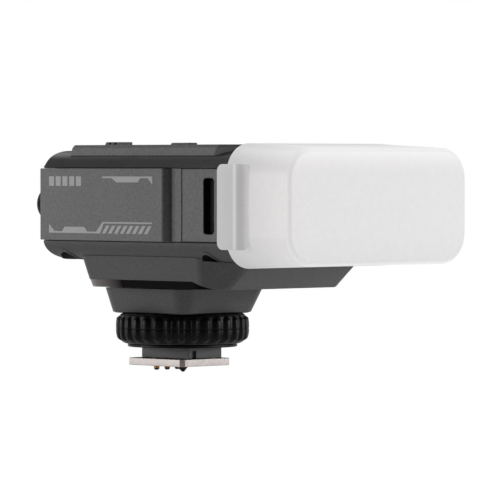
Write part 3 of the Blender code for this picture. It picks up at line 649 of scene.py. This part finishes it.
wells = {"x": 25.3, "rear": 16.4, "front": -37.7, "radius": 3.0, "low": 26, "top": 31.5, "sides": 48,
         "rim": 0.45, "rimRise": 0.2, "saddleCut": 29.0, "headRadius": 1.3, "headLow": 30.1, "headHigh": 33.6,
         "headSides": 32, "driveRadius": 0.55, "driveDepth": 0.7}
wellSpots = [(side * wells["x"], y) for y in (wells["rear"], wells["front"]) for side in (-1, 1)]


def wellShape(spot, radius, low, high):
    return turned([(radius, low), (radius, high)], spot, wells["sides"])


def makeLowerCover():
    edge, lip, split = body["edge"], body["halfWidth"] - body["lip"], body["bandLow"]
    inside, lipTop, lipFront = lip + body["lipWall"], split + body["lipRise"], body["front"] + body["lipBack"]
    loops = [casingLoop(inset, z) for inset, z in underLevels()[:-1]]
    loops += [casingLoop(0.02, split - edge), casingLoop(edge, split), casingLoop(lip, split, lipFront),
              casingLoop(lip, lipTop, lipFront), casingLoop(inside, lipTop, lipFront + 1),
              casingLoop(inside, body["lowerFloor"], lipFront + 1)]
    piece = makePiece("lowerCover", closedSkin(loops), lowerPlastic)
    for spot in wellSpots:
        # a low raised rim follows the curved skin around each well
        outside = wells["radius"] + wells["rim"]
        rim = makePiece("wellRim", wellShape(spot, outside, wells["low"], wells["top"]), lowerPlastic)
        carve(rim, casingShape(wells["rimRise"]), "INTERSECT")
        carveWith(piece, rim, "UNION")
        carve(piece, wellShape(spot, wells["radius"], wells["low"], wells["top"]))
    settle(steadyNormals(piece), "casing", "cover_grey_plastic", "lower_cover")


def makeUpperCover():
    edge, lip, split = body["edge"], body["halfWidth"] - body["lip"], body["bandHigh"]
    inside, lipLow, lipFront = lip + body["lipWall"], split - body["lipRise"], body["front"] + body["lipBack"]
    loops = [casingLoop(inside, body["upperCeiling"], lipFront + 1), casingLoop(inside, lipLow, lipFront + 1),
             casingLoop(lip, lipLow, lipFront), casingLoop(lip, split, lipFront),
             casingLoop(edge, split), casingLoop(0.04, split + edge)]
    loops += [casingLoop(inset, z) for inset, z in upperLevels()[1:]]
    piece = makePiece("upperCover", closedSkin(loops), upperPlastic)
    settle(steadyNormals(piece), "casing", "cover_grey_plastic", "upper_cover")


def makeCoverScrews():
    # pan heads with a small round drive, in dark steel whose darkness also stands in for painted shade deep
    # in each well
    radius, low, high = wells["headRadius"], wells["headLow"], wells["headHigh"]
    drive, depth, hair = wells["driveRadius"], wells["driveDepth"], 0.01
    profile = [(hair, low + depth), (drive, low + depth), (drive + 0.05, low), (radius - 0.2, low),
               (radius, low + 0.2), (radius, high), (hair, high)]
    for k, spot in enumerate(wellSpots):
        piece = makePiece(f"coverScrew{k + 1}", turned(profile, spot, wells["headSides"]), darkSteel)
        settle(piece, "casing", "dark_metal", f"cover_screw_{k + 1}")


makeLowerCover()
makeUpperCover()
makeCoverScrews()


panelLow, panelHigh = span("side_panel_left")
sidePlate = {"inner": panelLow[0], "out": panelHigh[0], "shoulder": 29.0,
             "flush": span("vent_panel_left")[1][0],
             "back": panelHigh[1], "rear": panelHigh[1] - 0.6, "step": -24.2, "front": panelLow[1],
             "low": panelLow[2] - 0.1, "high": panelHigh[2] + 0.1, "bevel": 0.35, "round": 0.7, "edge": 0.22,
             # depth, and distance past the step
             "groove": [(0.5, 1.25), (0.5, 1.65), (0.12, 1.7), (0.0, 1.85)],
             "socket": (2.2, 11.6, 37.0, 40.6), "socketRound": 1.7}


def makeSidePanel(side, name, nodeName):
    # a raised plate that steps down at its front, past a narrow groove
    p = sidePlate
    plan = [(p["inner"], p["back"]), (p["shoulder"], p["back"]), (p["shoulder"], p["rear"]),
            (p["out"] - p["bevel"], p["rear"]), (p["out"] - 0.1, p["rear"] - 0.1),
            (p["out"], p["rear"] - p["bevel"])]
    for k in range(11):
        angle = math.radians(90 * k / 10)
        plan.append((p["out"] - p["round"] * (1 - math.cos(angle)),
                     p["step"] - 0.1 - p["round"] * math.sin(angle)))
    plan += [(p["flush"] - depth, p["step"] - past) for depth, past in p["groove"]]
    plan += [(p["flush"], p["front"]), (p["inner"], p["front"])]
    bm = extruded([(side * x, y) for x, y in plan], "Z", p["low"], p["high"])
    soften(bm, p["edge"], 3, 60, lambda e: abs(e.verts[0].co.z - e.verts[1].co.z) < 0.01)
    piece = makePiece(name, bm, sidePlastic, 40)
    if side > 0:
        carve(piece, extruded(roundRect(*p["socket"], p["socketRound"]), "X", 20, beyond), angle=40)
    settle(steadyNormals(piece), "casing", "side_grey_plastic", nodeName)


makeSidePanel(-1, "sidePanelRight", "side_panel_right")
makeSidePanel(1, "sidePanelLeft", "side_panel_left")


ventSlot = {"front": -41.9, "rear": -37.9, "low": 36.1, "high": 50.7, "ramp": 1.3, "floor": 27.5,
            "mouth": 29.15, "wall": 0.12, "skin": 0.2, "gap": 0.03, "round": 0.85, "innerRound": 0.75}


def makeVentShadeSheet(side, name):
    # dark sheet of painted shade on the slot's floor, ends and rear wall, which lie in shadow; the ramp at
    # its front stays bare
    v = ventSlot
    gap, wall = v["gap"], v["gap"] + v["wall"]
    plan = roundRect(v["front"] + v["ramp"], v["rear"] - gap, v["low"] + gap, v["high"] - gap, v["round"])
    piece = makePiece(name, extruded(plan, "X", side * (v["floor"] + gap), side * v["mouth"]), slotLining)
    hollow = roundRect(v["front"] - 2, v["rear"] - wall, v["low"] + wall, v["high"] - wall, v["innerRound"])
    carve(piece, extruded(hollow, "X", side * (v["floor"] + v["skin"]), side * beyond))
    settle(piece, "casing", "ring_black_plastic")


dialLow, dialHigh = span("control_dial")
dial = {"x": 0.5 * (dialLow[0] + dialHigh[0]), "z": 0.5 * (dialLow[2] + dialHigh[2]),
        "radius": 0.5 * (dialHigh[0] - dialLow[0]), "near": 23.9, "far": dialHigh[1], "knurls": 48,
        "knurlDepth": 0.16, "pocket": 2.7, "pocketFloor": 25.2, "hole": 0.3, "stub": 1.7, "stubEnd": 22.4,
        # how far in from the radius, how far in from the end, and the share of the knurl's depth
        "nearRim": [(0.6, 0, 0), (0.15, 0.12, 0.3), (0, 0.4, 1)],
        "farRim": [(0, 0.75, 1), (0.2, 0.3, 0.6), (0.55, 0.05, 0.1), (0.9, 0, 0)]}


def makeDial():
    # knurled thumb wheel turning on a stub in the rear wall, with a pocket for its button
    d = dial
    profile = [(d["radius"] - inset, d["near"] + run, share) for inset, run, share in d["nearRim"]]
    profile += [(d["radius"] - inset, d["far"] - run, share) for inset, run, share in d["farRim"]]
    profile += [(d["pocket"] + 0.1, d["far"], 0), (d["pocket"], d["far"] - 0.1, 0),
                (d["pocket"], d["pocketFloor"], 0), (d["hole"], d["pocketFloor"], 0),
                (d["hole"], d["stubEnd"], 0), (d["stub"], d["stubEnd"], 0), (d["stub"], d["near"], 0)]
    count = d["knurls"] * 4
    loops = []
    for radius, y, share in profile:
        loop = []
        for i in range(count):
            angle = 2 * math.pi * i / count
            reach = radius - d["knurlDepth"] * share * (0, 0.5, 1, 0.5)[i % 4]
            loop.append((d["x"] + reach * math.cos(angle), y, d["z"] + reach * math.sin(angle)))
        loops.append(loop)
    piece = makePiece("controlDial", closedSkin(loops, looped=True), ringPlastic, 40)
    settle(steadyNormals(piece), "control_dial", "ring_black_plastic", "control_dial")


makeDial()
for side, word in ((-1, "Right"), (1, "Left")):
    softCopy("vent_panel_" + word.lower(), 0.2, sidePlastic, "side_grey_plastic")
    makeVentShadeSheet(side, "ventLining" + word)
softCopy("rear_panel", 0.2, coverPlastic, "cover_grey_plastic")
print("casing made")


deck = {"edge": 0.2, "seat": -0.05, "switchX": -18.0,
        # half width, front and rear of each switch's recess
        "recesses": [(2.7, -0.2, 9.3), (1.8, -26.0, -15.1)], "recessFloor": 58.6, "recessRound": 0.5,
        # height, then half width and y at the rear edge, y of the front corner, half width and y at the front
        "levels": [(55.0, 27.4, 14.2, -40.4, 24.6, -46.3), (56.45, 27.4, 14.2, -40.6, 24.6, -46.4),
                   (56.5, 27.8, 14.6, -40.2, 25.0, -46.5), (58.6, 27.8, 13.8, -41.4, 25.0, -46.9),
                   (59.4, 27.4, 13.3, -42.0, 24.5, -46.9)]}


def makeDeck():
    # a low plate with cut front corners, a shadow line under its edge and a recess for each switch
    loops = []
    for z, half, rear, corner, frontHalf, front in deck["levels"]:
        plan = [(-frontHalf, front), (frontHalf, front), (half, corner), (half, rear), (-half, rear),
                (-half, corner)]
        loops.append([(x, y, z) for x, y in plan])
    bm = closedSkin(loops)
    soften(bm, deck["edge"], 3, 15)
    piece = makePiece("topDeck", bm, sidePlastic)
    carve(piece, casingShape(deck["seat"]))
    for half, front, rear in deck["recesses"]:
        outline = roundRect(deck["switchX"] - half, deck["switchX"] + half, front, rear, deck["recessRound"])
        carve(piece, extruded(outline, "Z", deck["recessFloor"], 62))
    settle(steadyNormals(piece), "casing", "side_grey_plastic", "top_deck")


makeDeck()
softCopy("power_switch", 0.14, sidePlastic, "cover_grey_plastic", 2)
softCopy("mode_switch", 0.18, sidePlastic, "cover_grey_plastic", 2)
print("deck made")


def facetPlan(side, rearStart, rearX, rear, frontStart, frontX, front):
    # a rectangle with all four corners cut
    return [(-frontX, front), (frontX, front), (side, frontStart), (side, rearStart),
            (rearX, rear), (-rearX, rear), (-side, rearStart), (-side, frontStart)]


saddle = {"corner": 1.1, "edge": 0.3, "trimHigh": 23.6, "trimEnd": -30, "noseY": -36.6, "noseZ": 21.2,
          "seam": 0.1,
          # height and facetPlan's sizes
          "levels": [(21.4, 25.1, 8.9, 19.9, 14.0, -33.0, 20.3, -38.0),
                     (28.9, 27.0, 10.4, 20.7, 16.4, -33.8, 20.4, -47.2),
                     (31.0, 27.8, 11.2, 21.0, 17.0, -33.9, 20.3, -47.7)]}


def facetLoops(levels):
    return [[(x, y, level[0]) for x, y in facetPlan(*level[1:])] for level in levels]


def makeSaddle():
    bm = closedSkin(facetLoops(saddle["levels"]))
    lowest = saddle["levels"][0][0]
    soften(bm, saddle["corner"], 5, 12, leans)
    soften(bm, saddle["edge"], 3, 40, lambda e: max(v.co.z for v in e.verts) < lowest + 0.1)
    piece = makePiece("saddleShell", bm, saddlePlastic, 40)
    carve(piece, casingShape(saddle["seam"]), angle=40)
    # room for the trim band below, closing to a nose at the front
    room = [(20, 20), (20, saddle["trimHigh"]), (saddle["trimEnd"], saddle["trimHigh"]),
            (saddle["noseY"], saddle["noseZ"]), (saddle["noseY"], 20)]
    carve(piece, extruded(room, "X", -beyond, beyond), angle=40)
    for spot in wellSpots:
        # each screw well cuts a little into the saddle's rim
        carve(piece, wellShape(spot, wells["radius"], wells["saddleCut"], 33), angle=40)
    settle(steadyNormals(piece), "casing", "cover_grey_plastic", "saddle_shell")


trim = {"rearRound": 0.8, "sideRound": 2.4,
        "levels": [(21.55, 24.9, 8.9, 19.7, 14.0, -32.5, 19.8, -35.5),
                   (23.58, 25.6, 9.3, 20.1, 14.65, -33.1, 20.2, -36.5)],
        "thinning": [(-29.6, 30), (-29.6, 23.55), (-37.0, 20.85), (-41, 20.85), (-41, 30)]}


def makeTrim():
    # dark glossy band with rounded rear corners, thinning to nothing at the front
    bm = closedSkin(facetLoops(trim["levels"]))
    soften(bm, trim["rearRound"], 8, 12, lambda e: leans(e) and e.verts[0].co.y > 12)
    soften(bm, trim["sideRound"], 6, 12,
           lambda e: leans(e) and (e.verts[0].co.y < -20 or 8 < e.verts[0].co.y < 9.4))
    piece = makePiece("saddleTrim", bm, bandGloss, 50)
    carve(piece, extruded(trim["thinning"], "X", -beyond, beyond), angle=50)
    settle(steadyNormals(piece), "casing", "gloss_black_plastic", "saddle_trim")


# height, half width, front, rear and corner radius, bottom first
neckLevels = [(14.2, 13.4, -14.1, 14.6, 4.2), (14.5, 14.1, -14.8, 15.2, 4.6), (21.0, 16.4, -17.1, 15.8, 4.8)]


def makeNeck():
    loops = []
    for z, half, front, rear, radius in neckLevels:
        loops.append([(x, y, z) for x, y in roundRect(-half, half, front, rear, radius, 12)])
    piece = makePiece("neckCollar", closedSkin(loops), coverPlastic)
    settle(steadyNormals(piece), "casing", "cover_grey_plastic", "neck_collar")


makeSaddle()
makeNeck()
makeTrim()
print("saddle and neck made")


ring = {"low": 6.0, "high": 14.0, "radius": 18.0, "topRadius": 17.6, "lowRadius": 16.8, "bulge": 2.6,
        "bore": 9.1, "pocket": 11.9, "pocketDepth": 1.5, "rim": 0.3, "topInset": 1.2, "lowInset": 1.3,
        "ribs": 32, "steps": 14, "levels": 30, "depth": 0.85, "ribHalf": 1.02, "ribEnd": 0.75,
        "ribSharpness": 9, "ribCrown": 0.16, "lineDepth": 0.12,
        "lineHalf": 0.09, "lineStep": 0.12}
ring["middle"] = 0.5 * (ring["low"] + ring["high"])


def ringReach(angle, height):
    # barrel with raised round-ended bars, and a fine parting line half way up
    half = 0.5 * (ring["high"] - ring["low"])
    along = (height - ring["middle"]) / half
    end = ring["topRadius"] if along > 0 else ring["lowRadius"]
    barrel = ring["radius"] - (ring["radius"] - end) * abs(along) ** ring["bulge"]
    pitch = 2 * math.pi / ring["ribs"]
    offset = ((angle / pitch + 0.5) % 1 - 0.5) * pitch * ring["radius"]
    run = max(0.0, abs(height - ring["middle"]) - (half - ring["ribEnd"] - ring["ribHalf"]))
    away = math.hypot(offset, run) / ring["ribHalf"]
    lift = 1 / (1 + math.exp((away - 0.98) * ring["ribSharpness"]))
    crown = 1 - ring["ribCrown"] * min(1.0, away) ** 2
    line = ring["lineDepth"] * math.exp(-((height - ring["middle"]) / ring["lineHalf"]) ** 2)
    return barrel - ring["depth"] * (1 - lift * crown) - line


def ringLoop(height, reach=None):
    # a plain circle, or the ribbed outline where no reach is given
    count = ring["ribs"] * ring["steps"]
    points = []
    for i in range(count):
        angle = 2 * math.pi * i / count
        radius = ringReach(angle, height) if reach is None else reach
        points.append((radius * math.cos(angle), radius * math.sin(angle), height))
    return points


def makeRing():
    low, high, line = ring["low"], ring["high"], ring["lineStep"]
    tall = high - low - 2 * ring["rim"]
    heights = [low + ring["rim"] + tall * k / ring["levels"] for k in range(ring["levels"] + 1)]
    heights = sorted(set(heights + [ring["middle"] - line, ring["middle"] + line]))
    loops = [ringLoop(low, ring["lowRadius"] - ring["lowInset"])]
    loops += [ringLoop(height) for height in heights]
    loops += [ringLoop(high, ring["topRadius"] - ring["topInset"]), ringLoop(high, ring["bore"]),
              ringLoop(low + ring["pocketDepth"], ring["bore"]),
              ringLoop(low + ring["pocketDepth"], ring["pocket"]), ringLoop(low, ring["pocket"])]
    piece = makePiece("lockRing", closedSkin(loops, looped=True), ringPlastic, 50)
    settle(piece, "lock_ring", "ring_black_plastic", "lock_ring")


makeRing()
softCopy("clamp_washer", 0.15, ringPlastic, "ring_black_plastic", 2)
softCopy("shoe_block", 0.12, blockPlastic, "shoe_block_plastic", 2)
softCopy("foot_plate", 0.12, brightPlate, "bright_metal", 2)
print("ring and foot made")


# outlines in y and z; blocks and hatch repeat forwards by their pitch
marks = {"face": sidePlate["out"], "proud": 0.02, "sunk": 0.1,
         "blocks": 5, "blockPitch": 2.66,
         "block": [(19.1, 48.5), (17.15, 48.5), (17.15, 51.05), (19.1, 51.05)],
         "hatches": 8, "hatchPitch": 2.3,
         "hatch": [(-1.7, 35.95), (-3.0, 35.95), (-4.6, 38.05), (-3.3, 38.05)],
         "upperBar": [(-1.8, 50.6), (-1.8, 51.05), (-20.9, 51.05), (-20.9, 48.9), (-19.3, 50.6),
                      (-16.4, 50.6), (-15.4, 49.5), (-7.2, 49.5), (-5.4, 50.6)],
         "lowerBar": [(19.15, 35.95), (19.15, 38.35), (16.9, 36.4), (14.0, 36.4), (12.9, 37.6), (5.2, 37.6),
                      (4.1, 36.4), (0.6, 36.4), (-1.9, 39.0), (-20.9, 39.0), (-20.9, 38.6), (-2.3, 38.6),
                      (-0.9, 35.95)]}


def repeated(outline, count, pitch):
    return [[(y - pitch * k, z) for y, z in outline] for k in range(count)]


def makeMarks(side, name):
    # plain blocks, bars and slanted stripes
    shapes = repeated(marks["block"], marks["blocks"], marks["blockPitch"])
    shapes += [marks["upperBar"], marks["lowerBar"]]
    shapes += repeated(marks["hatch"], marks["hatches"], marks["hatchPitch"])
    whole = bmesh.new()
    for shape in shapes:
        low, high = side * (marks["face"] - marks["sunk"]), side * (marks["face"] + marks["proud"])
        part = extruded(shape, "X", low, high)
        mesh = bpy.data.meshes.new("part")
        part.to_mesh(mesh)
        part.free()
        whole.from_mesh(mesh)
        bpy.data.meshes.remove(mesh)
    bmesh.ops.recalc_face_normals(whole, faces=whole.faces)
    settle(makePiece(name, whole, lightInk), "casing", "side_grey_plastic")


makeMarks(-1, "printRight")
makeMarks(1, "printLeft")
print("marks made")


capLow, capHigh = span("diffuser_cap")
cap = {"rear": -49.7, "front": capLow[1], "rearHalf": 32.7, "frontHalf": 33.5, "rearLow": 27.4,
       "rearHigh": 59.6, "frontLow": 28.2, "frontHigh": 58.5, "corner": 8.2, "wall": 1.4, "edge": 1.3,
       # distance from the rear rim and how far the rim stands in, then the further stations along y
       "rim": [(0, 0.15), (0.25, -0.1), (1.2, -0.08), (3.4, -0.02), (5.5, 0)],
       "stations": (-57.0, -58.9, -62.0, -66.0, -70.0)}
grip = {"out": capHigh[0], "rear": capHigh[1], "front": -58.6, "low": 32.3, "high": 54.3, "round": 1.9,
        "slopeStart": -54.9, "slopeEnd": -58.55, "soft": 0.6, "sharper": 26,
        "gate": [(32.8, -58.2), (34.0, -56.1), (34.15, -56.2), (33.1, -58.4)],
        "gateLow": 43.35, "gateHigh": 43.75}


def capLoop(y, inset):
    share = (y - cap["rear"]) / (cap["front"] - cap["rear"])
    half = cap["rearHalf"] + (cap["frontHalf"] - cap["rearHalf"]) * share - inset
    low = cap["rearLow"] + (cap["frontLow"] - cap["rearLow"]) * share + inset
    high = cap["rearHigh"] + (cap["frontHigh"] - cap["rearHigh"]) * share - inset
    return [(x, y, z) for x, z in roundRect(-half, half, low, high, cap["corner"] - inset, 14)]


def addGrip(piece, side):
    # soft grip: rounded in the side view, with a long slope to the front and a small gate mark
    outline = roundRect(grip["front"], grip["rear"], grip["low"], grip["high"], grip["round"], 8)
    pad = makePiece("grip", extruded(outline, "X", side * (cap["rearHalf"] - 1.2), side * grip["out"]), milky)
    slope = [(36, grip["slopeStart"]), (grip["out"], grip["slopeStart"]),
             (cap["rearHalf"] + 0.05, grip["slopeEnd"]), (32, -60), (36, -60)]
    carve(pad, extruded([(side * x, y) for x, y in slope], "Z", 20, 70))
    step = pad.modifiers.new("soft", "BEVEL")
    step.width = grip["soft"] * mm
    step.segments = 5
    step.limit_method = "ANGLE"
    step.angle_limit = math.radians(grip["sharper"])
    applyAll(pad)
    carveWith(piece, pad, "UNION", 40)
    gate = [(side * x, y) for x, y in grip["gate"]]
    carve(piece, extruded(gate, "Z", grip["gateLow"], grip["gateHigh"]), "UNION", 40)


def makeCap():
    wall, rear, edge = cap["wall"], cap["rear"], cap["edge"]
    loops = [capLoop(cap["front"] + wall, wall), capLoop(rear - 0.3, wall), capLoop(rear, wall - 0.3)]
    loops += [capLoop(rear - run, inset) for run, inset in cap["rim"]]
    loops += [capLoop(y, 0) for y in cap["stations"]]
    for k in range(9):
        angle = math.radians(90 * k / 8)
        loops.append(capLoop(cap["front"] + edge * (1 - math.sin(angle)), edge * (1 - math.cos(angle))))
    piece = makePiece("diffuserCap", closedSkin(loops), milky, 40)
    for side in (-1, 1):
        addGrip(piece, side)
    settle(steadyNormals(piece), "diffuser_cap", "diffuser_silicone", "diffuser_cap")


makeCap()
softCopy("head_bezel", 0.15, darkFitting, "ring_black_plastic", 2)
print("head made")


# the CAD parts that stay as they are, by how their names start
keptFinishes = {"foot_screw": brightPlate, "data_contact": goldPlate, "centre_contact": goldPlate,
                "lock_pin": darkSteel, "threaded_stem": glossTrim, "dial_button": coverPlastic,
                "menu_key": ringPlastic, "set_key": ringPlastic, "test_key": ringPlastic,
                "display_window": screenGloss, "display_module": darkFitting, "control_board": boardLacquer,
                "main_board": boardLacquer, "dial_encoder": brightPlate, "battery_pack": cellWrap,
                "flash_capacitor": sleeveWrap, "step_up_transformer": darkFitting, "trigger_coil": goldPlate,
                "radio_module": brightPlate, "charging_socket": brightPlate, "reflector": mirrorFoil,
                "flash_tube": lensPlastic, "front_lens": lensPlastic}
for nodeName, part in nodes.items():
    for start, material in keptFinishes.items():
        if nodeName.startswith(start):
            part.data.materials.clear()
            part.data.materials.append(material)
print("kept parts finished")
